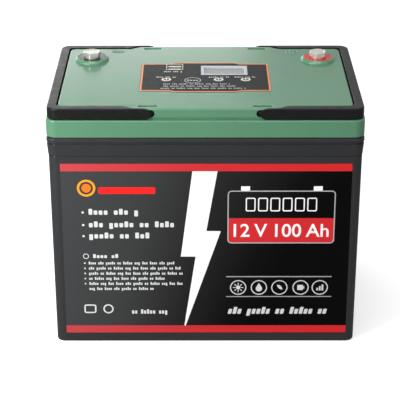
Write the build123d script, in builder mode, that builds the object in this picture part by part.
from build123d import *
from math import atan, cos, hypot, sin
import os

# Deep cycle battery: a lithium iron phosphate pack in a moulded block case, with two
# fold-down carry handles, a display panel and two bolt terminals in the lid.
# Millimetres, +Z up. The origin is the centre of the flat underside of the case.
# The label faces -Y, the negative terminal is at rear left and the positive at rear right.

os.makedirs("parts", exist_ok=True)

# ---------------------------------------------------------------- driving dimensions
LENGTH = 260.0  # over the lid skirt, along X
DEPTH = 168.0  # over the lid skirt, along Y
WALL = 3.0  # moulded wall thickness of case and lid

# Heights above the floor
FLOOR_TOP = 3.5
WALL_TOP = 172.0
BAND_BOTTOM = 173.0
BAND_TOP = 182.9
RIM_BOTTOM = 185.2
CASE_TOP = 188.0
SKIRT_BOTTOM = 189.4
LEDGE_TOP = 204.0
HANDLE_BOTTOM = 204.4
LID_TOP = 213.4
HANDLE_TOP = 214.0

# Case: how far each level stands inside the skirt's outline
FLOOR_INSET = 2.2
WALL_INSET = 1.2
STEP_INSET = 1.8
BAND_INSET_BOTTOM = 1.0
BAND_INSET_TOP = 0.2
NECK_INSET = 1.4
RIM_INSET = 0.0
CASE_CORNER = 7.0
FLOOR_FILLET = 2.0
RIM_FILLET = 0.6

# Lid
SKIRT_CORNER = 9.0
SKIRT_FILLET = 1.2
SKIRT_EDGE = 0.5
LIP_BOTTOM = 184.5
LIP_CLEARANCE = 0.4
LIP_THICKNESS = 2.0
PLATFORM_X = 120.6  # half length of the raised platform
PLATFORM_Y = 74.8  # half depth of the raised platform
PLATFORM_CORNER = 5.5
PLATFORM_FILLET = 1.2
BLOCK_Y = 81.3  # half depth of the hinge blocks in the middle of the platform
SHOULDER_INNER_X = 58.0
SHOULDER_OUTER_X = 66.3
SHOULDER_FILLET = 6.0
BASE_GROOVE_HEIGHT = 1.7
BASE_GROOVE_DEPTH = 1.4

# Handles and their hinges
PIVOT_X = 48.9
PIN_RADIUS = 2.5
RUNNING_CLEARANCE = 0.05
HANDLE_X = 129.0  # outer half length of the folded pair
HANDLE_Y = 83.1  # outer half depth
BAR_WIDTH = 7.5
NOSE_LENGTH = 7.4
NOSE_TIP_X = 43.9
PLATE_THICKNESS = 1.7
ARM_CLEARANCE = 1.0  # lid shoulder to arm shoulder, along X
HANDLE_CORNER = 8.5
HANDLE_INNER_CORNER = 4.5
HANDLE_FILLET = 1.1
SLOT_X = 46.7
SLOT_Y = 74.6
SLOT_LENGTH = 15.4
SLOT_WIDTH = 4.2
SLOT_FLOOR = 205.0
RECESS_DEPTH = 2.0
RECESS_RADIUS = 3.1
RECESS_CENTRE_X = 44.3
RECESS_OPEN_X = 62.0
PIN_END_Y = 75.0

# Display panel
PANEL_Y = -3.5  # centre of the panel
PANEL_X_SIZE = 110.0
PANEL_Y_SIZE = 70.4
BULGE = 3.0  # the panel's middle stands out at front and back
BULGE_INNER_X = 25.7
BULGE_OUTER_X = 30.0
PANEL_SEAT_DEPTH = 0.6
PANEL_THICKNESS = 0.8
PANEL_CORNER = 1.0
PANEL_GAP = 0.15
BOARD_TOP = 199.5
BOARD_THICKNESS = 1.6
BOARD_X_SIZE = 104.0
BOARD_Y_SIZE = 69.0
BOARD_SCREW_X = 47.0
BOARD_SCREW_Y = 30.0
USB_X = -26.3
USB_Y = 22.4
USB_X_SIZE = 14.8
USB_Y_SIZE = 15.4
LCD_X = 16.5
LCD_Y = 14.1
LCD_X_SIZE = 40.0
LCD_Y_SIZE = 24.0
LCD_BEZEL = 2.8
BUTTON_Y = -10.5
BUTTON_RADIUS = 4.75
BUTTON_HOLE_RADIUS = 5.0
BUTTON_FLANGE_RADIUS = 6.0
BUTTON_TRAVEL = 0.4
LEFT_BUTTON_X = -33.0
MIDDLE_BUTTON_X = 11.5
RIGHT_BUTTON_X = 34.5

# Terminals
TERMINAL_X = 99.5
TERMINAL_Y = 44.0
COLLAR_RADIUS = 14.8
COLLAR_FOOT = 1.0  # upright part of the collar, below its cone
COLLAR_RIM_RADIUS = 13.2
COLLAR_BORE_RADIUS = 12.65
COLLAR_HEIGHT = 2.7
COLLAR_FILLET = 0.3
RING_RADIUS = 12.5
RING_BORE_RADIUS = 6.8
RING_HEIGHT = 2.7
RING_FILLET = 0.4
POST_RADIUS = 6.5
POST_TOP = 213.6
POST_FLANGE_RADIUS = 12.0
POST_FLANGE_TOP = 209.4
POST_FLANGE_BOTTOM = 205.4
POST_BODY_RADIUS = 7.0
POST_BODY_BOTTOM = 196.0
POST_STUD_BOTTOM = 184.0
BOLT_RADIUS = 4.0  # M8
BOLT_HOLE_DEPTH = 14.0
BOLT_LENGTH = 16.0
BOLT_HOLE_CLEARANCE = 0.2
BOLT_HEAD_FLATS = 14.0
BOLT_HEAD_HEIGHT = 4.0
BOLT_HEAD_ANGLE = 17.0  # how far the tightened heads stand turned
WASHER_THICKNESS = 1.6
SPRING_WASHER_THICKNESS = 2.0
LUG_THICKNESS = 2.5
NUT_FLATS = 13.0
NUT_HEIGHT = 6.5

# Cells and the pack round them
CELL_THICKNESS = 50.0
CELL_WIDTH = 148.0
CELL_HEIGHT = 119.0
CELL_GAP = 0.6
CELL_BOTTOM = 6.5
CELL_POST_Y = 58.0
CELL_POST_RADIUS = 8.0
CELL_POST_HEIGHT = 3.0
CELL_STUD_RADIUS = 3.0
CELL_STUD_TOP = 137.5
BUSBAR_THICKNESS = 2.0
END_PLATE = 3.0
STRAP_THICKNESS = 0.8
STRAP_WIDTH = 16.0

# Battery management board
TRAY_BOTTOM = 140.0
TRAY_THICKNESS = 2.5
BMS_BOTTOM = 148.5
BMS_X_SIZE = 140.0
BMS_Y_SIZE = 96.0
BMS_SCREW_X = 64.0
BMS_SCREW_Y = 42.0
BMS_LUG_X = 62.0
CABLE_RADIUS = 4.0
WIRE_RADIUS = 0.8

# ---------------------------------------------------------------- worked-out values
PIVOT_Z = (HANDLE_BOTTOM + HANDLE_TOP) / 2
HANDLE_HALF_HEIGHT = (HANDLE_TOP - HANDLE_BOTTOM) / 2
LEDGE_UNDERSIDE = LEDGE_TOP - WALL
LID_UNDERSIDE = LID_TOP - WALL
PANEL_SEAT = LID_TOP - PANEL_SEAT_DEPTH
PANEL_TOP = PANEL_SEAT + PANEL_THICKNESS
BOARD_BOTTOM = BOARD_TOP - BOARD_THICKNESS
CELL_PITCH = CELL_THICKNESS + CELL_GAP
CELL_TOP = CELL_BOTTOM + CELL_HEIGHT
CELL_POST_TOP = CELL_TOP + CELL_POST_HEIGHT
PACK_HALF = 1.5 * CELL_PITCH + CELL_THICKNESS / 2
OUTER_CELL_X = 1.5 * CELL_PITCH
BMS_TOP = BMS_BOTTOM + BOARD_THICKNESS
TRAY_TOP = TRAY_BOTTOM + TRAY_THICKNESS
WASHER_TOP = POST_TOP + WASHER_THICKNESS
HEAD_BOTTOM = WASHER_TOP + SPRING_WASHER_THICKNESS
CORNERS = [(sx, sy) for sx in (-1, 1) for sy in (-1, 1)]
ON_TOP = (Align.CENTER, Align.CENTER, Align.MIN)  # stands on its place
HANGING = (Align.CENTER, Align.CENTER, Align.MAX)  # hangs from its place

# The front wall leans out by its draft, so the label lies on a tilted plane
# whose local y runs up the wall.
wall_draft = atan((FLOOR_INSET - WALL_INSET) / WALL_TOP)
front_wall = Plane(
    origin=(0, FLOOR_INSET - DEPTH / 2, 0),
    x_dir=(1, 0, 0),
    z_dir=(0, -cos(wall_draft), -sin(wall_draft)),
)

# ---------------------------------------------------------------- case
with BuildPart() as case:
    for height, inset in ((0, FLOOR_INSET), (WALL_TOP, WALL_INSET)):
        with BuildSketch(Plane.XY.offset(height)):
            RectangleRounded(LENGTH - 2 * inset, DEPTH - 2 * inset, CASE_CORNER)
    loft()
    fillet(case.faces().sort_by(Axis.Z)[0].edges(), FLOOR_FILLET)
    # A shadow step, a leaning band, a neck and the rim stand on the wall in turn
    courses = (
        (WALL_TOP, BAND_BOTTOM, STEP_INSET, STEP_INSET),
        (BAND_BOTTOM, BAND_TOP, BAND_INSET_BOTTOM, BAND_INSET_TOP),
        (BAND_TOP, RIM_BOTTOM, NECK_INSET, NECK_INSET),
        (RIM_BOTTOM, CASE_TOP, RIM_INSET, RIM_INSET),
    )
    for bottom, top, low_inset, high_inset in courses:
        with BuildSketch(Plane.XY.offset(bottom)):
            RectangleRounded(LENGTH - 2 * low_inset, DEPTH - 2 * low_inset, CASE_CORNER)
        with BuildSketch(Plane.XY.offset(top)):
            RectangleRounded(LENGTH - 2 * high_inset, DEPTH - 2 * high_inset, CASE_CORNER)
        loft()
    fillet(case.faces().sort_by(Axis.Z)[-1].edges(), RIM_FILLET)
    # The hollow follows the draft of the walls
    for height, inset in ((FLOOR_TOP, FLOOR_INSET), (CASE_TOP, BAND_INSET_TOP)):
        with BuildSketch(Plane.XY.offset(height)):
            RectangleRounded(
                LENGTH - 2 * (inset + WALL), DEPTH - 2 * (inset + WALL), CASE_CORNER - WALL
            )
    loft(mode=Mode.SUBTRACT)
case.part.label = "case"
export_step(case.part, "parts/case.step")

# ---------------------------------------------------------------- label on the front wall
LABEL_X = 0.7
LABEL_BOTTOM = 8.7
LABEL_X_SIZE = 239.8
LABEL_HEIGHT = 157.6
LABEL_THICKNESS = 0.3
LABEL_CORNER = 0.8

with BuildPart() as front_label:
    with BuildSketch(front_wall):
        with Locations((LABEL_X, LABEL_BOTTOM + LABEL_HEIGHT / 2)):
            RectangleRounded(LABEL_X_SIZE, LABEL_HEIGHT, LABEL_CORNER)
    extrude(amount=LABEL_THICKNESS)
front_label.part.label = "front_label"
export_step(front_label.part, "parts/front_label.step")

# ---------------------------------------------------------------- outlines used more than once
with BuildSketch() as panel_outline:
    with Locations((0, PANEL_Y)):
        RectangleRounded(PANEL_X_SIZE, PANEL_Y_SIZE, PANEL_CORNER)
    half = PANEL_Y_SIZE / 2
    for side in (-1, 1):
        with Locations((0, PANEL_Y)):
            Polygon(
                (-BULGE_OUTER_X, side * half),
                (-BULGE_INNER_X, side * (half + BULGE)),
                (BULGE_INNER_X, side * (half + BULGE)),
                (BULGE_OUTER_X, side * half),
                align=None,
            )

button_places = [(x, BUTTON_Y) for x in (LEFT_BUTTON_X, MIDDLE_BUTTON_X, RIGHT_BUTTON_X)]
terminal_places = [(-TERMINAL_X, TERMINAL_Y), (TERMINAL_X, TERMINAL_Y)]
board_screw_places = [
    (sx * BOARD_SCREW_X, PANEL_Y + sy * BOARD_SCREW_Y) for sx, sy in CORNERS
]

OPENING_GAP = 0.4  # wider than the piece that stands in it
OPENING_CORNER = 0.8
with BuildSketch() as panel_openings:
    with Locations((USB_X, USB_Y)):
        RectangleRounded(USB_X_SIZE + OPENING_GAP, USB_Y_SIZE + OPENING_GAP, OPENING_CORNER)
    with Locations((LCD_X, LCD_Y)):
        RectangleRounded(LCD_X_SIZE + OPENING_GAP, LCD_Y_SIZE + OPENING_GAP, OPENING_CORNER)
    with Locations(*button_places):
        Circle(BUTTON_HOLE_RADIUS)

# ---------------------------------------------------------------- lid
SIGN_HEIGHT = 0.35
SIGN_STROKE = 0.9
MINUS_PLACE = (-77.6, 66.3)
MINUS_LENGTH = 11.5
MINUS_WIDTH = 5.4
MINUS_CORNER = 1.6
PLUS_PLACE = (77.8, 65.0)
PLUS_LENGTH = 10.0
PLUS_WIDTH = 3.8
CAVITY_CORNER = 3.0
POST_HOLE_CLEARANCE = 0.15
BOSS_RADIUS = 3.0
BOSS_PILOT_RADIUS = 1.3
BOSS_PILOT_DEPTH = 8.0

with BuildPart() as lid:
    with BuildSketch(Plane.XY.offset(SKIRT_BOTTOM)):
        RectangleRounded(LENGTH, DEPTH, SKIRT_CORNER)
    extrude(amount=LEDGE_TOP - SKIRT_BOTTOM)
    fillet(lid.faces().sort_by(Axis.Z)[-1].edges(), SKIRT_FILLET)
    fillet(lid.faces().sort_by(Axis.Z)[0].edges(), SKIRT_EDGE)
    # The platform is narrow at both ends, where the handles lie round it, and steps
    # out over a slanted shoulder to the hinge blocks in the middle
    with BuildSketch(Plane.XY.offset(LEDGE_TOP)) as platform:
        RectangleRounded(2 * PLATFORM_X, 2 * PLATFORM_Y, PLATFORM_CORNER)
        for side in (-1, 1):
            Polygon(
                (-SHOULDER_OUTER_X, side * PLATFORM_Y),
                (-SHOULDER_INNER_X, side * BLOCK_Y),
                (SHOULDER_INNER_X, side * BLOCK_Y),
                (SHOULDER_OUTER_X, side * PLATFORM_Y),
                align=None,
            )
        shoulder_corners = platform.vertices().filter_by(
            lambda v: abs(v.X) < SHOULDER_OUTER_X + 1
        )
        fillet(shoulder_corners, SHOULDER_FILLET)
    extrude(amount=LID_TOP - LEDGE_TOP)
    fillet(lid.faces().sort_by(Axis.Z)[-1].edges(), PLATFORM_FILLET)
    # Raised collars for the terminals, upright at the foot and coned above
    with Locations(*[(x, y, LID_TOP) for x, y in terminal_places]):
        Cylinder(COLLAR_RADIUS, COLLAR_FOOT, align=ON_TOP)
    with Locations(*[(x, y, LID_TOP + COLLAR_FOOT) for x, y in terminal_places]):
        Cone(COLLAR_RADIUS, COLLAR_RIM_RADIUS, COLLAR_HEIGHT - COLLAR_FOOT, align=ON_TOP)
    fillet(lid.edges().group_by(Axis.Z)[-1], COLLAR_FILLET)
    # Raised outlines of the two polarity signs
    with BuildSketch(Plane.XY.offset(LID_TOP)):
        with Locations(MINUS_PLACE):
            RectangleRounded(MINUS_LENGTH, MINUS_WIDTH, MINUS_CORNER)
            RectangleRounded(
                MINUS_LENGTH - 2 * SIGN_STROKE,
                MINUS_WIDTH - 2 * SIGN_STROKE,
                MINUS_CORNER - SIGN_STROKE,
                mode=Mode.SUBTRACT,
            )
        with Locations(PLUS_PLACE):
            Rectangle(PLUS_LENGTH, PLUS_WIDTH)
            Rectangle(PLUS_WIDTH, PLUS_LENGTH)
            inner_length = PLUS_LENGTH - 2 * SIGN_STROKE
            inner_width = PLUS_WIDTH - 2 * SIGN_STROKE
            Rectangle(inner_length, inner_width, mode=Mode.SUBTRACT)
            Rectangle(inner_width, inner_length, mode=Mode.SUBTRACT)
    extrude(amount=SIGN_HEIGHT)
    # The lip that locates the lid inside the case
    lip_inset = BAND_INSET_TOP + WALL + LIP_CLEARANCE
    with BuildSketch(Plane.XY.offset(LIP_BOTTOM)):
        RectangleRounded(LENGTH - 2 * lip_inset, DEPTH - 2 * lip_inset, CASE_CORNER - WALL)
    extrude(amount=SKIRT_BOTTOM - LIP_BOTTOM + SKIRT_EDGE)
    # Hollow under the skirt and under the platform
    cavity_inset = lip_inset + LIP_THICKNESS
    with BuildSketch(Plane.XY.offset(LIP_BOTTOM)):
        RectangleRounded(
            LENGTH - 2 * cavity_inset, DEPTH - 2 * cavity_inset, CAVITY_CORNER
        )
    extrude(amount=LEDGE_UNDERSIDE - LIP_BOTTOM, mode=Mode.SUBTRACT)
    with BuildSketch(Plane.XY.offset(LEDGE_UNDERSIDE)):
        RectangleRounded(
            2 * (PLATFORM_X - WALL), 2 * (PLATFORM_Y - WALL), PLATFORM_CORNER - WALL
        )
    extrude(amount=LID_UNDERSIDE - LEDGE_UNDERSIDE, mode=Mode.SUBTRACT)
    # Bosses that carry the display board
    with BuildSketch(Plane.XY.offset(BOARD_TOP)):
        with Locations(*board_screw_places):
            Circle(BOSS_RADIUS)
    extrude(amount=LID_UNDERSIDE - BOARD_TOP)
    with BuildSketch(Plane.XY.offset(BOARD_TOP)):
        with Locations(*board_screw_places):
            Circle(BOSS_PILOT_RADIUS)
    extrude(amount=BOSS_PILOT_DEPTH, mode=Mode.SUBTRACT)
    # Seat and openings of the display panel
    with BuildSketch(Plane.XY.offset(PANEL_SEAT)):
        add(panel_outline.sketch)
    extrude(amount=PANEL_SEAT_DEPTH, mode=Mode.SUBTRACT)
    with BuildSketch(Plane.XY.offset(LID_UNDERSIDE)):
        add(panel_openings.sketch)
    extrude(amount=WALL, mode=Mode.SUBTRACT)
    # Terminal openings: a wide bore down to the lid top and a neck hole through it
    with Locations(*[(x, y, LID_TOP + COLLAR_HEIGHT / 2) for x, y in terminal_places]):
        Cylinder(COLLAR_BORE_RADIUS, COLLAR_HEIGHT, mode=Mode.SUBTRACT)
    with Locations(*[(x, y, LID_TOP - WALL / 2) for x, y in terminal_places]):
        Cylinder(POST_RADIUS + POST_HOLE_CLEARANCE, WALL, mode=Mode.SUBTRACT)
    # Slots over the hinge pins, which let the pins snap home
    slot_depth = LID_TOP - SLOT_FLOOR
    with Locations(*[(sx * SLOT_X, sy * SLOT_Y, LID_TOP) for sx, sy in CORNERS]):
        Box(
            SLOT_LENGTH,
            SLOT_WIDTH,
            slot_depth,
            align=HANGING,
            mode=Mode.SUBTRACT,
        )
    # Recess round each handle nose, open towards the arm
    recess_y = BLOCK_Y - RECESS_DEPTH / 2
    with Locations(*[(sx * RECESS_CENTRE_X, sy * recess_y, PIVOT_Z) for sx, sy in CORNERS]):
        Cylinder(RECESS_RADIUS, RECESS_DEPTH, rotation=(90, 0, 0), mode=Mode.SUBTRACT)
    recess_run = RECESS_OPEN_X - RECESS_CENTRE_X
    recess_mid = RECESS_CENTRE_X + recess_run / 2
    with Locations(*[(sx * recess_mid, sy * recess_y, PIVOT_Z) for sx, sy in CORNERS]):
        Box(recess_run, RECESS_DEPTH, 2 * RECESS_RADIUS, mode=Mode.SUBTRACT)
    # Pin holes from each recess into its slot
    slot_wall = BLOCK_Y - RECESS_DEPTH - SLOT_Y
    hole_y = SLOT_Y + slot_wall / 2
    with Locations(*[(sx * PIVOT_X, sy * hole_y, PIVOT_Z) for sx, sy in CORNERS]):
        Cylinder(
            PIN_RADIUS + RUNNING_CLEARANCE, slot_wall, rotation=(90, 0, 0), mode=Mode.SUBTRACT
        )
    # Shadow groove where the hinge blocks meet the ledge
    groove_y = BLOCK_Y - BASE_GROOVE_DEPTH / 2
    with Locations(*[(0, sy * groove_y, LEDGE_TOP) for sy in (-1, 1)]):
        Box(
            2 * SHOULDER_INNER_X,
            BASE_GROOVE_DEPTH,
            BASE_GROOVE_HEIGHT,
            align=ON_TOP,
            mode=Mode.SUBTRACT,
        )
lid.part.label = "lid"
export_step(lid.part, "parts/lid.step")

# ---------------------------------------------------------------- seal between case and lid
SEAL_INSET = 1.0
SEAL_CORNER = 4.0
SEAL_CLEARANCE = 0.1
seal_inner_inset = lip_inset - SEAL_CLEARANCE
with BuildPart() as lid_seal:
    with BuildSketch(Plane.XY.offset(CASE_TOP)):
        RectangleRounded(LENGTH - 2 * SEAL_INSET, DEPTH - 2 * SEAL_INSET, CASE_CORNER)
        RectangleRounded(
            LENGTH - 2 * seal_inner_inset,
            DEPTH - 2 * seal_inner_inset,
            SEAL_CORNER,
            mode=Mode.SUBTRACT,
        )
    extrude(amount=SKIRT_BOTTOM - CASE_TOP)
lid_seal.part.label = "lid_seal"
export_step(lid_seal.part, "parts/lid_seal.step")

# ---------------------------------------------------------------- handles
# Each handle is one moulded U that lies round one end of the platform. Its arms thin
# to a plate in front of the hinge block, and a pin on each plate turns in the lid.
bar_inner_x = HANDLE_X - BAR_WIDTH
bar_inner_y = HANDLE_Y - BAR_WIDTH + 0.1
plate_y = HANDLE_Y - PLATE_THICKNESS
nose_x = NOSE_TIP_X + NOSE_LENGTH

with BuildPart() as left_handle:
    with BuildSketch(Plane.XY.offset(HANDLE_BOTTOM)) as arms:
        with BuildLine():
            Polyline(
                (-HANDLE_X, 0),
                (-HANDLE_X, HANDLE_Y),
                (-NOSE_TIP_X, HANDLE_Y),
                (-NOSE_TIP_X, plate_y),
                (-SHOULDER_INNER_X - ARM_CLEARANCE, plate_y),
                (-SHOULDER_OUTER_X - ARM_CLEARANCE, bar_inner_y),
                (-bar_inner_x, bar_inner_y),
                (-bar_inner_x, 0),
                close=True,
            )
        make_face()
        fillet(arms.vertices().sort_by_distance((-HANDLE_X, HANDLE_Y))[0], HANDLE_CORNER)
        inner_corner = arms.vertices().sort_by_distance((-bar_inner_x, bar_inner_y))[0]
        fillet(inner_corner, HANDLE_INNER_CORNER)
        arm_shoulder = arms.vertices().filter_by(
            lambda v: SHOULDER_INNER_X < -v.X < SHOULDER_OUTER_X + 2
        )
        fillet(arm_shoulder, SHOULDER_FILLET)
        mirror(about=Plane.XZ)
    extrude(amount=HANDLE_TOP - HANDLE_BOTTOM)
    # Round the long outer edges, and ease the inner ones
    rims = left_handle.edges().group_by(Axis.Z)[0] + left_handle.edges().group_by(Axis.Z)[-1]
    outer_rims = rims.filter_by(
        lambda e: abs(e.center().Y) > HANDLE_Y - 0.1
        or e.center().X < -HANDLE_X + 0.1
        or hypot(e.center().X + HANDLE_X, abs(e.center().Y) - HANDLE_Y) < HANDLE_CORNER / 2
    )
    fillet(outer_rims, HANDLE_FILLET)
    # The nose is the end of an ellipse, small enough to turn over the ledge
    with BuildSketch(Plane.XZ):
        with Locations((-nose_x, PIVOT_Z)):
            Ellipse(NOSE_LENGTH, HANDLE_HALF_HEIGHT)
        with Locations((-nose_x, PIVOT_Z)):
            Rectangle(HANDLE_X, 2 * HANDLE_HALF_HEIGHT, align=(Align.MAX, Align.CENTER))
    extrude(amount=HANDLE_Y + 1, both=True, mode=Mode.INTERSECT)
    # Hinge pins
    pin_length = plate_y - PIN_END_Y
    pin_y = (plate_y + PIN_END_Y) / 2
    with Locations(*[(-PIVOT_X, sy * pin_y, PIVOT_Z) for sy in (-1, 1)]):
        Cylinder(PIN_RADIUS, pin_length, rotation=(90, 0, 0))
left_handle.part.label = "left_handle"
export_step(left_handle.part, "parts/left_handle.step")

with BuildPart() as right_handle:
    mirror(left_handle.part, about=Plane.YZ)
right_handle.part.label = "right_handle"
export_step(right_handle.part, "parts/right_handle.step")

# ---------------------------------------------------------------- display panel
with BuildPart() as display_overlay:
    with BuildSketch(Plane.XY.offset(PANEL_SEAT)):
        add(panel_outline.sketch)
        offset(amount=-PANEL_GAP)
        add(panel_openings.sketch, mode=Mode.SUBTRACT)
    extrude(amount=PANEL_THICKNESS)
display_overlay.part.label = "display_overlay"
export_step(display_overlay.part, "parts/display_overlay.step")

BOARD_CORNER = 2.0
SCREW_HOLE_RADIUS = 1.6
SCREW_RADIUS = 1.2
SCREW_HEAD_RADIUS = 2.8
SCREW_HEAD_HEIGHT = 1.8
SCREW_SLOT = (3.0, 0.7, 1.0)  # one arm of the cross: length, width and depth
SCREW_CROSS_ARM = (0.7, 3.0, 1.0)
DISPLAY_SCREW_LENGTH = 8.0
with BuildPart() as display_board:
    with BuildSketch(Plane.XY.offset(BOARD_BOTTOM)):
        with Locations((0, PANEL_Y)):
            RectangleRounded(BOARD_X_SIZE, BOARD_Y_SIZE, BOARD_CORNER)
        with Locations(*board_screw_places):
            Circle(SCREW_HOLE_RADIUS, mode=Mode.SUBTRACT)
    extrude(amount=BOARD_THICKNESS)
display_board.part.label = "display_board"
export_step(display_board.part, "parts/display_board.step")

with BuildPart() as display_board_screws:
    with Locations(*[(x, y, BOARD_BOTTOM - SCREW_HEAD_HEIGHT / 2) for x, y in board_screw_places]):
        Cylinder(SCREW_HEAD_RADIUS, SCREW_HEAD_HEIGHT)
    with Locations(*[(x, y, BOARD_BOTTOM) for x, y in board_screw_places]):
        Cylinder(SCREW_RADIUS, DISPLAY_SCREW_LENGTH, align=ON_TOP)
    with Locations(*[(x, y, BOARD_BOTTOM - SCREW_HEAD_HEIGHT) for x, y in board_screw_places]):
        Box(*SCREW_SLOT, align=ON_TOP, mode=Mode.SUBTRACT)
        Box(*SCREW_CROSS_ARM, align=ON_TOP, mode=Mode.SUBTRACT)
display_board_screws.part.label = "display_board_screws"
export_step(display_board_screws.part, "parts/display_board_screws.step")

# Liquid crystal display: a light frame that stands on the board, the display in it
# and a clear window over the display
LCD_FRAME_TOP = PANEL_TOP + 0.1
LCD_FRAME_CORNER = 0.6
LCD_FRAME_EDGE = 0.3
LCD_WINDOW_TOP = PANEL_TOP - 0.4
LCD_WINDOW_BOTTOM = LCD_WINDOW_TOP - 1.0
LCD_PANEL_BOTTOM = LCD_WINDOW_BOTTOM - 3.0
LCD_PANEL_GAP = 0.2
LCD_WINDOW_GAP = 0.1
lcd_view_x = LCD_X_SIZE - 2 * LCD_BEZEL
lcd_view_y = LCD_Y_SIZE - 2 * LCD_BEZEL
with BuildPart() as lcd_frame:
    with BuildSketch(Plane.XY.offset(BOARD_TOP)):
        with Locations((LCD_X, LCD_Y)):
            RectangleRounded(LCD_X_SIZE, LCD_Y_SIZE, LCD_FRAME_CORNER)
            Rectangle(lcd_view_x, lcd_view_y, mode=Mode.SUBTRACT)
    extrude(amount=LCD_FRAME_TOP - BOARD_TOP)
    chamfer(lcd_frame.faces().sort_by(Axis.Z)[-1].inner_wires().edges(), LCD_FRAME_EDGE)
lcd_frame.part.label = "lcd_frame"
export_step(lcd_frame.part, "parts/lcd_frame.step")

with BuildPart() as lcd_panel:
    with BuildSketch(Plane.XY.offset(LCD_PANEL_BOTTOM)):
        with Locations((LCD_X, LCD_Y)):
            Rectangle(lcd_view_x - LCD_PANEL_GAP, lcd_view_y - LCD_PANEL_GAP)
    extrude(amount=LCD_WINDOW_BOTTOM - LCD_PANEL_BOTTOM)
lcd_panel.part.label = "lcd_panel"
export_step(lcd_panel.part, "parts/lcd_panel.step")

with BuildPart() as lcd_window:
    with BuildSketch(Plane.XY.offset(LCD_WINDOW_BOTTOM)):
        with Locations((LCD_X, LCD_Y)):
            Rectangle(lcd_view_x - LCD_WINDOW_GAP, lcd_view_y - LCD_WINDOW_GAP)
    extrude(amount=LCD_WINDOW_TOP - LCD_WINDOW_BOTTOM)
lcd_window.part.label = "lcd_window"
export_step(lcd_window.part, "parts/lcd_window.step")

# Double USB socket: a metal shell with two mouths, and a contact tongue in each
USB_TOP = PANEL_TOP + 0.3
USB_MOUTH_X = 13.2
USB_MOUTH_Y = 6.2
USB_MOUTH_OFFSET = 3.6
USB_FLOOR = BOARD_TOP + 1.5
USB_CORNER = 0.7
USB_MOUTH_CORNER = 0.4
TONGUE_X_SIZE = 11.1
TONGUE_Y_SIZE = 2.6
TONGUE_TOP = USB_TOP - 0.7
TONGUE_EDGE = 0.4
usb_mouths = [(USB_X, USB_Y + side * USB_MOUTH_OFFSET) for side in (-1, 1)]
with BuildPart() as usb_shell:
    with BuildSketch(Plane.XY.offset(BOARD_TOP)):
        with Locations((USB_X, USB_Y)):
            RectangleRounded(USB_X_SIZE, USB_Y_SIZE, USB_CORNER)
    extrude(amount=USB_TOP - BOARD_TOP)
    with BuildSketch(Plane.XY.offset(USB_FLOOR)):
        with Locations(*usb_mouths):
            RectangleRounded(USB_MOUTH_X, USB_MOUTH_Y, USB_MOUTH_CORNER)
    extrude(amount=USB_TOP - USB_FLOOR, mode=Mode.SUBTRACT)
usb_shell.part.label = "usb_shell"
export_step(usb_shell.part, "parts/usb_shell.step")

with BuildPart() as usb_tongues:
    with BuildSketch(Plane.XY.offset(USB_FLOOR)):
        with Locations(*usb_mouths):
            Rectangle(TONGUE_X_SIZE, TONGUE_Y_SIZE)
    extrude(amount=TONGUE_TOP - USB_FLOOR)
    chamfer(usb_tongues.faces().group_by(Axis.Z)[-1].edges(), TONGUE_EDGE)
usb_tongues.part.label = "usb_tongues"
export_step(usb_tongues.part, "parts/usb_tongues.step")

# Push buttons: a round cap with a flange that keeps it under the lid, and a stem
# that presses a switch on the board
BUTTON_TOP = PANEL_TOP + 0.25
BUTTON_FILLET = 0.5
STEM_RADIUS = 1.8
FLANGE_TOP = LID_UNDERSIDE - 0.1
FLANGE_THICKNESS = 1.1
SWITCH_BODY = 6.0
SWITCH_BODY_HEIGHT = 3.4
SWITCH_KEY_RADIUS = 1.7
SWITCH_TOP = BOARD_TOP + 4.0
STEM_BOTTOM = SWITCH_TOP + BUTTON_TRAVEL + 0.1
for button_name, button_x in (
    ("left_button", LEFT_BUTTON_X),
    ("middle_button", MIDDLE_BUTTON_X),
    ("right_button", RIGHT_BUTTON_X),
):
    with BuildPart() as button:
        with BuildSketch(Plane.XY.offset(FLANGE_TOP)):
            with Locations((button_x, BUTTON_Y)):
                Circle(BUTTON_RADIUS)
        extrude(amount=BUTTON_TOP - FLANGE_TOP)
        fillet(button.faces().sort_by(Axis.Z)[-1].edges(), BUTTON_FILLET)
        with BuildSketch(Plane.XY.offset(FLANGE_TOP)):
            with Locations((button_x, BUTTON_Y)):
                Circle(BUTTON_FLANGE_RADIUS)
        extrude(amount=-FLANGE_THICKNESS)
        with BuildSketch(Plane.XY.offset(FLANGE_TOP - FLANGE_THICKNESS)):
            with Locations((button_x, BUTTON_Y)):
                Circle(STEM_RADIUS)
        extrude(amount=STEM_BOTTOM - FLANGE_TOP + FLANGE_THICKNESS)
    button.part.label = button_name
    export_step(button.part, f"parts/{button_name}.step")

with BuildPart() as tact_switches:
    with Locations(*[(x, y, BOARD_TOP) for x, y in button_places]):
        Box(SWITCH_BODY, SWITCH_BODY, SWITCH_BODY_HEIGHT, align=ON_TOP)
        Cylinder(SWITCH_KEY_RADIUS, SWITCH_TOP - BOARD_TOP, align=ON_TOP)
tact_switches.part.label = "tact_switches"
export_step(tact_switches.part, "parts/tact_switches.step")

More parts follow.
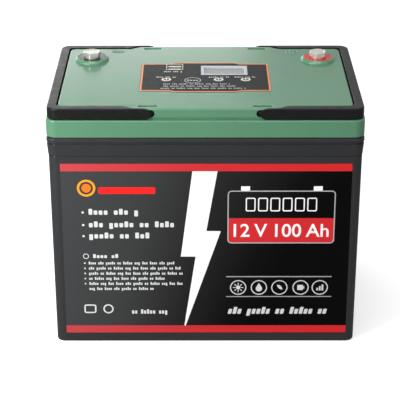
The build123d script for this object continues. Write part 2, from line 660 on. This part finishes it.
# ---------------------------------------------------------------- terminals
WASHER_RADIUS = 6.5
WASHER_GAP = 0.02  # between the plain and the spring washer
SPRING_WASHER_RADIUS = 6.3
SPLIT_WIDTH = 1.0
SPLIT_ANGLE = 12.0
WASHER_FACE_RADIUS = 6.5
WASHER_FACE_HEIGHT = 0.4
HEAD_CORNER_RADIUS = 7.9
HEAD_CROWN_RADIUS = 6.8
HEAD_CROWN_DROP = 0.8
DISH_RADIUS = 5.8
DISH_FLOOR_RADIUS = 5.2
DISH_DEPTH = 0.4
BOLT_TIP_CHAMFER = 0.8
head_top = HEAD_BOTTOM + BOLT_HEAD_HEIGHT
for polarity, (terminal_x, terminal_y) in zip(("negative", "positive"), terminal_places):
    here = Location((terminal_x, terminal_y, 0))
    with BuildPart() as terminal:
        with BuildSketch(Plane.XZ):
            with BuildLine():
                Polyline(
                    (0, POST_STUD_BOTTOM),
                    (BOLT_RADIUS, POST_STUD_BOTTOM),
                    (BOLT_RADIUS, POST_BODY_BOTTOM),
                    (POST_BODY_RADIUS, POST_BODY_BOTTOM),
                    (POST_BODY_RADIUS, POST_FLANGE_BOTTOM),
                    (POST_FLANGE_RADIUS, POST_FLANGE_BOTTOM),
                    (POST_FLANGE_RADIUS, POST_FLANGE_TOP),
                    (POST_RADIUS, POST_FLANGE_TOP),
                    (POST_RADIUS, POST_TOP),
                    (BOLT_RADIUS, POST_TOP),
                    (BOLT_RADIUS, POST_TOP - BOLT_HOLE_DEPTH),
                    (0, POST_TOP - BOLT_HOLE_DEPTH),
                    close=True,
                )
            make_face()
        revolve(axis=Axis.Z)
    terminal_part = terminal.part.moved(here)
    terminal_part.label = f"{polarity}_terminal"
    export_step(terminal_part, f"parts/{polarity}_terminal.step")

    # Coloured polarity ring in the collar
    with BuildPart() as ring:
        with BuildSketch(Plane.XY.offset(LID_TOP)):
            with Locations((terminal_x, terminal_y)):
                Circle(RING_RADIUS)
                Circle(RING_BORE_RADIUS, mode=Mode.SUBTRACT)
        extrude(amount=RING_HEIGHT)
        fillet(ring.faces().sort_by(Axis.Z)[-1].edges(), RING_FILLET)
    ring.part.label = f"{polarity}_ring"
    export_step(ring.part, f"parts/{polarity}_ring.step")

    # Plain washer on the post and split spring washer on top of it
    with BuildPart() as washers:
        with BuildSketch(Plane.XY.offset(POST_TOP)):
            with Locations((terminal_x, terminal_y)):
                Circle(WASHER_RADIUS)
                Circle(BOLT_RADIUS + BOLT_HOLE_CLEARANCE, mode=Mode.SUBTRACT)
        extrude(amount=WASHER_THICKNESS - WASHER_GAP)
        with BuildSketch(Plane.XY.offset(WASHER_TOP)):
            with Locations((terminal_x, terminal_y)):
                Circle(SPRING_WASHER_RADIUS)
                Circle(BOLT_RADIUS + BOLT_HOLE_CLEARANCE, mode=Mode.SUBTRACT)
            with Locations((terminal_x + SPRING_WASHER_RADIUS / 2, terminal_y)):
                Rectangle(
                    SPRING_WASHER_RADIUS, SPLIT_WIDTH, rotation=SPLIT_ANGLE, mode=Mode.SUBTRACT
                )
        extrude(amount=SPRING_WASHER_THICKNESS)
    washers.part.label = f"{polarity}_washers"
    export_step(washers.part, f"parts/{polarity}_washers.step")

    # M8 hexagon bolt: head with a washer face, corners turned off and a dished top
    with BuildPart() as bolt:
        with BuildSketch(Plane.XY.offset(HEAD_BOTTOM + WASHER_FACE_HEIGHT)):
            RegularPolygon(
                BOLT_HEAD_FLATS / 2, 6, major_radius=False, rotation=BOLT_HEAD_ANGLE
            )
        extrude(amount=BOLT_HEAD_HEIGHT - WASHER_FACE_HEIGHT)
        with BuildSketch(Plane.XZ):
            with BuildLine():
                Polyline(
                    (0, HEAD_BOTTOM),
                    (HEAD_CORNER_RADIUS, HEAD_BOTTOM),
                    (HEAD_CORNER_RADIUS, head_top - HEAD_CROWN_DROP),
                    (HEAD_CROWN_RADIUS, head_top),
                    (DISH_RADIUS, head_top),
                    (DISH_FLOOR_RADIUS, head_top - DISH_DEPTH),
                    (0, head_top - DISH_DEPTH),
                    close=True,
                )
            make_face()
        revolve(axis=Axis.Z, mode=Mode.INTERSECT)
        with BuildSketch(Plane.XY.offset(HEAD_BOTTOM)):
            Circle(WASHER_FACE_RADIUS)
        extrude(amount=WASHER_FACE_HEIGHT)
        with BuildSketch(Plane.XY.offset(HEAD_BOTTOM)):
            Circle(BOLT_RADIUS - RUNNING_CLEARANCE)
        extrude(amount=-BOLT_LENGTH)
        chamfer(bolt.faces().sort_by(Axis.Z)[0].edges(), BOLT_TIP_CHAMFER)
    bolt_part = bolt.part.moved(here)
    bolt_part.label = f"{polarity}_bolt"
    export_step(bolt_part, f"parts/{polarity}_bolt.step")

GASKET_CLEARANCE = 0.1
with BuildPart() as terminal_gaskets:
    with BuildSketch(Plane.XY.offset(POST_FLANGE_TOP)):
        with Locations(*terminal_places):
            Circle(POST_FLANGE_RADIUS)
            Circle(POST_RADIUS + GASKET_CLEARANCE, mode=Mode.SUBTRACT)
    extrude(amount=LID_UNDERSIDE - POST_FLANGE_TOP)
terminal_gaskets.part.label = "terminal_gaskets"
export_step(terminal_gaskets.part, "parts/terminal_gaskets.step")

LUG_BOTTOM = POST_BODY_BOTTOM - LUG_THICKNESS
with BuildPart() as terminal_nuts:
    with BuildSketch(Plane.XY.offset(LUG_BOTTOM)):
        with Locations(*terminal_places):
            RegularPolygon(NUT_FLATS / 2, 6, major_radius=False)
            Circle(BOLT_RADIUS + RUNNING_CLEARANCE, mode=Mode.SUBTRACT)
    extrude(amount=-NUT_HEIGHT)
terminal_nuts.part.label = "terminal_nuts"
export_step(terminal_nuts.part, "parts/terminal_nuts.step")

# Crimp lugs under the posts: a ring, a tongue and a barrel. The negative one points
# to the front and the positive one to the back.
LUG_RING_RADIUS = 7.5
BARREL_RADIUS = 4.6
TONGUE = 8.0
TONGUE_WIDTH = 9.0
SMALL_TONGUE_WIDTH = 8.0
BARREL_LENGTH = 9.0
LUG_MID = LUG_BOTTOM + LUG_THICKNESS / 2
with BuildPart() as terminal_lugs:
    for (lug_x, lug_y), way in zip(terminal_places, (-1, 1)):
        with BuildSketch(Plane.XY.offset(LUG_BOTTOM)):
            with Locations((lug_x, lug_y)):
                Circle(LUG_RING_RADIUS)
            with Locations((lug_x, lug_y + way * TONGUE / 2)):
                Rectangle(TONGUE_WIDTH, TONGUE)
            with Locations((lug_x, lug_y)):
                Circle(BOLT_RADIUS + BOLT_HOLE_CLEARANCE, mode=Mode.SUBTRACT)
        extrude(amount=LUG_THICKNESS)
        with Locations((lug_x, lug_y + way * (TONGUE + BARREL_LENGTH / 2), LUG_MID)):
            Cylinder(BARREL_RADIUS, BARREL_LENGTH, rotation=(90, 0, 0))
terminal_lugs.part.label = "terminal_lugs"
export_step(terminal_lugs.part, "parts/terminal_lugs.step")

# ---------------------------------------------------------------- cells
VENT_RADIUS = 9.0
VENT_DEPTH = 0.5
CELL_CORNER = 2.5
for index in range(4):
    cell_x = (index - 1.5) * CELL_PITCH
    with BuildPart() as cell:
        with BuildSketch(Plane.XY.offset(CELL_BOTTOM)):
            with Locations((cell_x, 0)):
                RectangleRounded(CELL_THICKNESS, CELL_WIDTH, CELL_CORNER)
        extrude(amount=CELL_HEIGHT)
        # Shallow safety vent in the middle of the top
        with Locations((cell_x, 0, CELL_TOP)):
            Cylinder(VENT_RADIUS, VENT_DEPTH, align=HANGING, mode=Mode.SUBTRACT)
    cell.part.label = f"cell_{index + 1}"
    export_step(cell.part, f"parts/cell_{index + 1}.step")

cell_post_places = [
    ((index - 1.5) * CELL_PITCH, side * CELL_POST_Y) for index in range(4) for side in (-1, 1)
]
with BuildPart() as cell_posts:
    with Locations(*[(x, y, CELL_TOP) for x, y in cell_post_places]):
        Cylinder(
            CELL_POST_RADIUS, CELL_POST_HEIGHT, align=ON_TOP
        )
        Cylinder(
            CELL_STUD_RADIUS,
            CELL_STUD_TOP - CELL_TOP,
            align=ON_TOP,
        )
cell_posts.part.label = "cell_posts"
export_step(cell_posts.part, "parts/cell_posts.step")

# The nuts clamp two millimetres of busbar or lug on every post
CELL_NUT_FLATS = 10.0
CELL_NUT_HEIGHT = 5.0
STUD_HOLE_CLEARANCE = 0.2
with BuildPart() as cell_nuts:
    with BuildSketch(Plane.XY.offset(CELL_POST_TOP + BUSBAR_THICKNESS)):
        with Locations(*cell_post_places):
            RegularPolygon(CELL_NUT_FLATS / 2, 6, major_radius=False)
            Circle(CELL_STUD_RADIUS + RUNNING_CLEARANCE, mode=Mode.SUBTRACT)
    extrude(amount=CELL_NUT_HEIGHT)
cell_nuts.part.label = "cell_nuts"
export_step(cell_nuts.part, "parts/cell_nuts.step")

# Three links join the four cells in series, at front, back and front
link_places = [(-CELL_PITCH, -CELL_POST_Y), (0, CELL_POST_Y), (CELL_PITCH, -CELL_POST_Y)]
BUSBAR_OVERHANG = 9.0
BUSBAR_WIDTH = 16.0
BUSBAR_CORNER = 3.0
with BuildPart() as series_busbars:
    with BuildSketch(Plane.XY.offset(CELL_POST_TOP)):
        with Locations(*link_places):
            RectangleRounded(CELL_PITCH + 2 * BUSBAR_OVERHANG, BUSBAR_WIDTH, BUSBAR_CORNER)
            with Locations((-CELL_PITCH / 2, 0), (CELL_PITCH / 2, 0)):
                Circle(CELL_STUD_RADIUS + STUD_HOLE_CLEARANCE, mode=Mode.SUBTRACT)
    extrude(amount=BUSBAR_THICKNESS)
series_busbars.part.label = "series_busbars"
export_step(series_busbars.part, "parts/series_busbars.step")

INSULATOR_WIDTH = 146.0
INSULATOR_HEIGHT = 117.0
with BuildPart() as cell_insulators:
    with Locations(*[(x * CELL_PITCH, 0, CELL_BOTTOM) for x in (-1, 0, 1)]):
        Box(CELL_GAP, INSULATOR_WIDTH, INSULATOR_HEIGHT, align=ON_TOP)
cell_insulators.part.label = "cell_insulators"
export_step(cell_insulators.part, "parts/cell_insulators.step")

END_PLATE_HEIGHT = 115.0
with BuildPart() as end_plates:
    with Locations(*[(side * (PACK_HALF + END_PLATE / 2), 0, CELL_BOTTOM) for side in (-1, 1)]):
        Box(END_PLATE, CELL_WIDTH, END_PLATE_HEIGHT, align=ON_TOP)
end_plates.part.label = "end_plates"
export_step(end_plates.part, "parts/end_plates.step")

STRAP_HEIGHTS = (32.0, 92.0)
strap_inner_x = 2 * (PACK_HALF + END_PLATE)
with BuildPart() as pack_straps:
    for strap_z in STRAP_HEIGHTS:
        with BuildSketch(Plane.XY.offset(strap_z)):
            Rectangle(strap_inner_x + 2 * STRAP_THICKNESS, CELL_WIDTH + 2 * STRAP_THICKNESS)
            Rectangle(strap_inner_x, CELL_WIDTH, mode=Mode.SUBTRACT)
        extrude(amount=STRAP_WIDTH)
pack_straps.part.label = "pack_straps"
export_step(pack_straps.part, "parts/pack_straps.step")

BASE_PAD_INSET = 2.0
with BuildPart() as base_pad:
    with Locations((0, 0, FLOOR_TOP)):
        Box(
            2 * PACK_HALF,
            CELL_WIDTH - 2 * BASE_PAD_INSET,
            CELL_BOTTOM - FLOOR_TOP,
            align=ON_TOP,
        )
base_pad.part.label = "base_pad"
export_step(base_pad.part, "parts/base_pad.step")

PAD_INNER_X = PACK_HALF + END_PLATE + STRAP_THICKNESS
PAD_OUTER_X = LENGTH / 2 - FLOOR_INSET - WALL - 0.3
PAD_BOTTOM = FLOOR_TOP + 3.0
PAD_Y_SIZE = 130.0
PAD_HEIGHT = 105.0
pad_width = PAD_OUTER_X - PAD_INNER_X
with BuildPart() as end_pads:
    with Locations(*[(side * (PAD_INNER_X + pad_width / 2), 0, PAD_BOTTOM) for side in (-1, 1)]):
        Box(pad_width, PAD_Y_SIZE, PAD_HEIGHT, align=ON_TOP)
end_pads.part.label = "end_pads"
export_step(end_pads.part, "parts/end_pads.step")

# Crimp lugs on the two end posts of the pack, pointing outwards
CELL_LUG_TONGUE = 10.0
CELL_BARREL_START = OUTER_CELL_X + CELL_LUG_TONGUE
CELL_BARREL_Z = CELL_POST_TOP + BUSBAR_THICKNESS + 0.1
with BuildPart() as cell_lugs:
    for way in (-1, 1):
        with BuildSketch(Plane.XY.offset(CELL_POST_TOP)):
            with Locations((way * OUTER_CELL_X, CELL_POST_Y)):
                Circle(LUG_RING_RADIUS)
            with Locations((way * (OUTER_CELL_X + CELL_LUG_TONGUE / 2), CELL_POST_Y)):
                Rectangle(CELL_LUG_TONGUE, SMALL_TONGUE_WIDTH)
            with Locations((way * OUTER_CELL_X, CELL_POST_Y)):
                Circle(CELL_STUD_RADIUS + STUD_HOLE_CLEARANCE, mode=Mode.SUBTRACT)
        extrude(amount=BUSBAR_THICKNESS)
        with Locations((way * (CELL_BARREL_START + BARREL_LENGTH / 2), CELL_POST_Y, CELL_BARREL_Z)):
            Cylinder(BARREL_RADIUS, BARREL_LENGTH, rotation=(0, 90, 0))
cell_lugs.part.label = "cell_lugs"
export_step(cell_lugs.part, "parts/cell_lugs.step")

# ---------------------------------------------------------------- battery management board
# A plastic tray stands on the cells and carries the board on four standoffs
bms_screw_places = [(sx * BMS_SCREW_X, sy * BMS_SCREW_Y) for sx, sy in CORNERS]
TRAY_OVERHANG_X = 4.0
TRAY_OVERHANG_Y = 1.0
TRAY_CORNER = 3.0
TRAY_OPENING = (60.0, 40.0)
TRAY_LEG = 8.0
TRAY_LEG_X = 66.0
TRAY_LEG_Y = 36.0
with BuildPart() as bms_tray:
    with BuildSketch(Plane.XY.offset(TRAY_BOTTOM)):
        RectangleRounded(
            BMS_X_SIZE + 2 * TRAY_OVERHANG_X, BMS_Y_SIZE + 2 * TRAY_OVERHANG_Y, TRAY_CORNER
        )
        Rectangle(*TRAY_OPENING, mode=Mode.SUBTRACT)
    extrude(amount=TRAY_THICKNESS)
    with Locations(*[(sx * TRAY_LEG_X, sy * TRAY_LEG_Y, CELL_TOP) for sx, sy in CORNERS]):
        Box(TRAY_LEG, TRAY_LEG, TRAY_BOTTOM - CELL_TOP, align=ON_TOP)
bms_tray.part.label = "bms_tray"
export_step(bms_tray.part, "parts/bms_tray.step")

STANDOFF_FLATS = 5.5
STANDOFF_BORE_RADIUS = 1.3
with BuildPart() as bms_standoffs:
    with BuildSketch(Plane.XY.offset(TRAY_TOP)):
        with Locations(*bms_screw_places):
            RegularPolygon(STANDOFF_FLATS / 2, 6, major_radius=False)
            Circle(STANDOFF_BORE_RADIUS, mode=Mode.SUBTRACT)
    extrude(amount=BMS_BOTTOM - TRAY_TOP)
bms_standoffs.part.label = "bms_standoffs"
export_step(bms_standoffs.part, "parts/bms_standoffs.step")

OUTPUT_LUG_Y = 8.0
INPUT_LUG_Y = 26.0
PAD_HOLE_RADIUS = 2.2
bms_lug_places = [(-BMS_LUG_X, OUTPUT_LUG_Y), (-BMS_LUG_X, INPUT_LUG_Y)]
with BuildPart() as bms_board:
    with BuildSketch(Plane.XY.offset(BMS_BOTTOM)):
        RectangleRounded(BMS_X_SIZE, BMS_Y_SIZE, BOARD_CORNER)
        with Locations(*bms_screw_places):
            Circle(SCREW_HOLE_RADIUS, mode=Mode.SUBTRACT)
        with Locations(*bms_lug_places):
            Circle(PAD_HOLE_RADIUS, mode=Mode.SUBTRACT)
    extrude(amount=BOARD_THICKNESS)
bms_board.part.label = "bms_board"
export_step(bms_board.part, "parts/bms_board.step")

BMS_SCREW_LENGTH = 6.0
with BuildPart() as bms_screws:
    with Locations(*[(x, y, BMS_TOP) for x, y in bms_screw_places]):
        Cylinder(
            SCREW_HEAD_RADIUS, SCREW_HEAD_HEIGHT, align=ON_TOP
        )
        Cylinder(SCREW_RADIUS, BMS_SCREW_LENGTH, align=HANGING)
    with Locations(*[(x, y, BMS_TOP + SCREW_HEAD_HEIGHT) for x, y in bms_screw_places]):
        Box(*SCREW_SLOT, align=HANGING, mode=Mode.SUBTRACT)
        Box(*SCREW_CROSS_ARM, align=HANGING, mode=Mode.SUBTRACT)
bms_screws.part.label = "bms_screws"
export_step(bms_screws.part, "parts/bms_screws.step")

TRANSISTOR_Y = -20.0
TRANSISTOR_HEIGHT = 4.4
TRANSISTOR_X_SIZE = 10.0
TRANSISTOR_Y_SIZE = 15.0
TRANSISTOR_PITCH = 14.0
TRANSISTOR_COUNT = 8
with BuildPart() as bms_transistors:
    with Locations((0, TRANSISTOR_Y, BMS_TOP)):
        with GridLocations(TRANSISTOR_PITCH, 0, TRANSISTOR_COUNT, 1):
            Box(TRANSISTOR_X_SIZE, TRANSISTOR_Y_SIZE, TRANSISTOR_HEIGHT, align=ON_TOP)
bms_transistors.part.label = "bms_transistors"
export_step(bms_transistors.part, "parts/bms_transistors.step")

HEATSINK_X_SIZE = 118.0
HEATSINK_Y_SIZE = 30.0
HEATSINK_BASE = 3.0
FIN_HEIGHT = 8.0
FIN_THICKNESS = 1.5
FIN_PITCH = 4.75
FIN_COUNT = 7
with BuildPart() as bms_heatsink:
    heatsink_bottom = BMS_TOP + TRANSISTOR_HEIGHT
    with Locations((0, TRANSISTOR_Y, heatsink_bottom)):
        Box(HEATSINK_X_SIZE, HEATSINK_Y_SIZE, HEATSINK_BASE, align=ON_TOP)
    with Locations((0, TRANSISTOR_Y, heatsink_bottom + HEATSINK_BASE)):
        with GridLocations(0, FIN_PITCH, 1, FIN_COUNT):
            Box(HEATSINK_X_SIZE, FIN_THICKNESS, FIN_HEIGHT, align=ON_TOP)
bms_heatsink.part.label = "bms_heatsink"
export_step(bms_heatsink.part, "parts/bms_heatsink.step")

# Lugs screwed to the board's two negative pads, with barrels beyond its edge
BMS_BARREL_START = BMS_X_SIZE / 2 + 0.5
BMS_LUG_RADIUS = 6.0
BMS_LUG_THICKNESS = 2.0
BMS_BARREL_Z = BMS_TOP + 2.1
tongue_run = BMS_BARREL_START - BMS_LUG_X
with BuildPart() as bms_lugs:
    for lug_x, lug_y in bms_lug_places:
        with BuildSketch(Plane.XY.offset(BMS_TOP)):
            with Locations((lug_x, lug_y)):
                Circle(BMS_LUG_RADIUS)
            with Locations((lug_x - tongue_run / 2, lug_y)):
                Rectangle(tongue_run, SMALL_TONGUE_WIDTH)
            with Locations((lug_x, lug_y)):
                Circle(PAD_HOLE_RADIUS, mode=Mode.SUBTRACT)
        extrude(amount=BMS_LUG_THICKNESS)
        with Locations((-BMS_BARREL_START - BARREL_LENGTH / 2, lug_y, BMS_BARREL_Z)):
            Cylinder(BARREL_RADIUS, BARREL_LENGTH, rotation=(0, 90, 0))
bms_lugs.part.label = "bms_lugs"
export_step(bms_lugs.part, "parts/bms_lugs.step")

LUG_SCREW_HEAD_RADIUS = 3.6
LUG_SCREW_HEAD_HEIGHT = 2.4
LUG_SCREW_RADIUS = 2.0
LUG_SCREW_LENGTH = 6.0
with BuildPart() as bms_lug_screws:
    with Locations(*[(x, y, BMS_TOP + BMS_LUG_THICKNESS) for x, y in bms_lug_places]):
        Cylinder(LUG_SCREW_HEAD_RADIUS, LUG_SCREW_HEAD_HEIGHT, align=ON_TOP)
        Cylinder(LUG_SCREW_RADIUS, LUG_SCREW_LENGTH, align=HANGING)
bms_lug_screws.part.label = "bms_lug_screws"
export_step(bms_lug_screws.part, "parts/bms_lug_screws.step")

# Plastic wire connectors: sensing, temperature and display, and one under the
# display board
SENSE_CONNECTOR = (30.0, 38.0)
TEMPERATURE_CONNECTOR = (30.0, -42.0)
DISPLAY_CONNECTOR = (-20.0, 38.0)
RIBBON_Y = 16.0  # where the ribbon meets the display board
SENSE_HEIGHT = 8.0
SENSE_SIZE = (18.0, 6.0, SENSE_HEIGHT)
SMALL_HEIGHT = 5.0
SMALL_SIZE = (12.0, 5.0, SMALL_HEIGHT)
with BuildPart() as wire_connectors:
    with Locations((*SENSE_CONNECTOR, BMS_TOP)):
        Box(*SENSE_SIZE, align=ON_TOP)
    with Locations((*TEMPERATURE_CONNECTOR, BMS_TOP), (*DISPLAY_CONNECTOR, BMS_TOP)):
        Box(*SMALL_SIZE, align=ON_TOP)
    with Locations((DISPLAY_CONNECTOR[0], RIBBON_Y, BOARD_BOTTOM)):
        Box(*SMALL_SIZE, align=HANGING)
wire_connectors.part.label = "wire_connectors"
export_step(wire_connectors.part, "parts/wire_connectors.step")

# ---------------------------------------------------------------- cables
CABLE_GAP = 0.05
CABLE_BEND = 11.0
POSITIVE_RISE_X = 108.5  # where the positive cable climbs beside the cells
POSITIVE_REAR_Y = 72.5
POSITIVE_TURN_Z = 163.0
INPUT_RISE_X = -109.0
lug_end_y = TONGUE + BARREL_LENGTH + CABLE_GAP
cell_cable_x = CELL_BARREL_START + BARREL_LENGTH + CABLE_GAP
bms_cable_x = BMS_BARREL_START + BARREL_LENGTH + CABLE_GAP
cable_runs = {
    # from the last cell's positive post up to the positive terminal
    "positive_cable": [
        (cell_cable_x, CELL_POST_Y, CELL_BARREL_Z),
        (POSITIVE_RISE_X, CELL_POST_Y, CELL_BARREL_Z),
        (POSITIVE_RISE_X, CELL_POST_Y, POSITIVE_TURN_Z),
        (POSITIVE_RISE_X, POSITIVE_REAR_Y, POSITIVE_TURN_Z + CABLE_BEND),
        (TERMINAL_X, POSITIVE_REAR_Y, LUG_MID),
        (TERMINAL_X, TERMINAL_Y + lug_end_y, LUG_MID),
    ],
    # from the board's output pad up to the negative terminal
    "negative_cable": [
        (-bms_cable_x, OUTPUT_LUG_Y, BMS_BARREL_Z),
        (-TERMINAL_X, OUTPUT_LUG_Y, BMS_BARREL_Z),
        (-TERMINAL_X, OUTPUT_LUG_Y, LUG_MID),
        (-TERMINAL_X, TERMINAL_Y - lug_end_y, LUG_MID),
    ],
    # from the first cell's negative post up to the board's input pad
    "pack_negative_cable": [
        (-cell_cable_x, CELL_POST_Y, CELL_BARREL_Z),
        (INPUT_RISE_X, CELL_POST_Y, CELL_BARREL_Z),
        (INPUT_RISE_X, CELL_POST_Y - CABLE_BEND, BMS_BARREL_Z - CABLE_BEND),
        (-TERMINAL_X, INPUT_LUG_Y, BMS_BARREL_Z),
        (-bms_cable_x, INPUT_LUG_Y, BMS_BARREL_Z),
    ],
}
for cable_name, corners in cable_runs.items():
    with BuildPart() as cable:
        with BuildLine() as run:
            FilletPolyline(*corners, radius=CABLE_BEND)
        with BuildSketch(Plane(origin=corners[0], z_dir=run.line % 0)):
            Circle(CABLE_RADIUS)
        sweep(path=run.line)
    cable.part.label = cable_name
    export_step(cable.part, f"parts/{cable_name}.step")

# Five thin sensing wires from the connector to the links and the two end lugs. Each
# rises, crosses over the board at its own height and drops on its post.
LINK_TOP = CELL_POST_TOP + BUSBAR_THICKNESS
WIRE_BEND = 5.0
WIRE_CROSSING = 170.0
WIRE_SPACING = 3.0
SENSE_OFFSET = 7.4  # from an end post to the wire on its lug
wire_ends = [
    (-OUTER_CELL_X - SENSE_OFFSET, CELL_POST_Y),
    *link_places,
    (OUTER_CELL_X + SENSE_OFFSET, CELL_POST_Y),
]
with BuildPart() as sensing_wires:
    for index, (end_x, end_y) in enumerate(wire_ends):
        start_x = SENSE_CONNECTOR[0] + (index - 2) * WIRE_SPACING
        crossing = WIRE_CROSSING + index * WIRE_SPACING
        start_point = (start_x, SENSE_CONNECTOR[1], BMS_TOP + SENSE_HEIGHT)
        with BuildLine() as run:
            FilletPolyline(
                start_point,
                (start_x, SENSE_CONNECTOR[1], crossing),
                (end_x, end_y, crossing),
                (end_x, end_y, LINK_TOP),
                radius=WIRE_BEND,
            )
        with BuildSketch(Plane(origin=start_point, z_dir=(0, 0, 1))):
            Circle(WIRE_RADIUS)
        sweep(path=run.line)
sensing_wires.part.label = "sensing_wires"
export_step(sensing_wires.part, "parts/sensing_wires.step")

# Temperature sensor: a bead on a cell, and its wire to the board
BEAD_Y = -68.0
BEAD_HEIGHT = 3.0
BEAD_SIZE = (5.0, 6.0, BEAD_HEIGHT)
BEAD_SHARE = 0.78  # how far along the third cell's pitch the bead sits
bead_x = CELL_PITCH * BEAD_SHARE
with BuildPart() as temperature_sensor:
    with Locations((bead_x, BEAD_Y, CELL_TOP)):
        Box(*BEAD_SIZE, align=ON_TOP)
    bead_top = (bead_x, BEAD_Y, CELL_TOP + BEAD_HEIGHT)
    with BuildLine() as run:
        FilletPolyline(
            bead_top,
            (bead_x, BEAD_Y, WIRE_CROSSING),
            (*TEMPERATURE_CONNECTOR, WIRE_CROSSING),
            (*TEMPERATURE_CONNECTOR, BMS_TOP + SMALL_HEIGHT),
            radius=WIRE_BEND,
        )
    with BuildSketch(Plane(origin=bead_top, z_dir=(0, 0, 1))):
        Circle(WIRE_RADIUS)
    sweep(path=run.line)
temperature_sensor.part.label = "temperature_sensor"
export_step(temperature_sensor.part, "parts/temperature_sensor.step")

# Flat ribbon from the management board up to the display board
RIBBON_WIDTH = 8.0
RIBBON_THICKNESS = 0.9
with BuildPart() as display_ribbon:
    ribbon_start = (*DISPLAY_CONNECTOR, BMS_TOP + SMALL_HEIGHT)
    with BuildLine() as run:
        FilletPolyline(
            ribbon_start,
            (*DISPLAY_CONNECTOR, WIRE_CROSSING),
            (DISPLAY_CONNECTOR[0], RIBBON_Y, WIRE_CROSSING),
            (DISPLAY_CONNECTOR[0], RIBBON_Y, BOARD_BOTTOM - SMALL_HEIGHT),
            radius=WIRE_BEND,
        )
    with BuildSketch(Plane(origin=ribbon_start, z_dir=(0, 0, 1))):
        Rectangle(RIBBON_WIDTH, RIBBON_THICKNESS)
    sweep(path=run.line)
display_ribbon.part.label = "display_ribbon"
export_step(display_ribbon.part, "parts/display_ribbon.step")
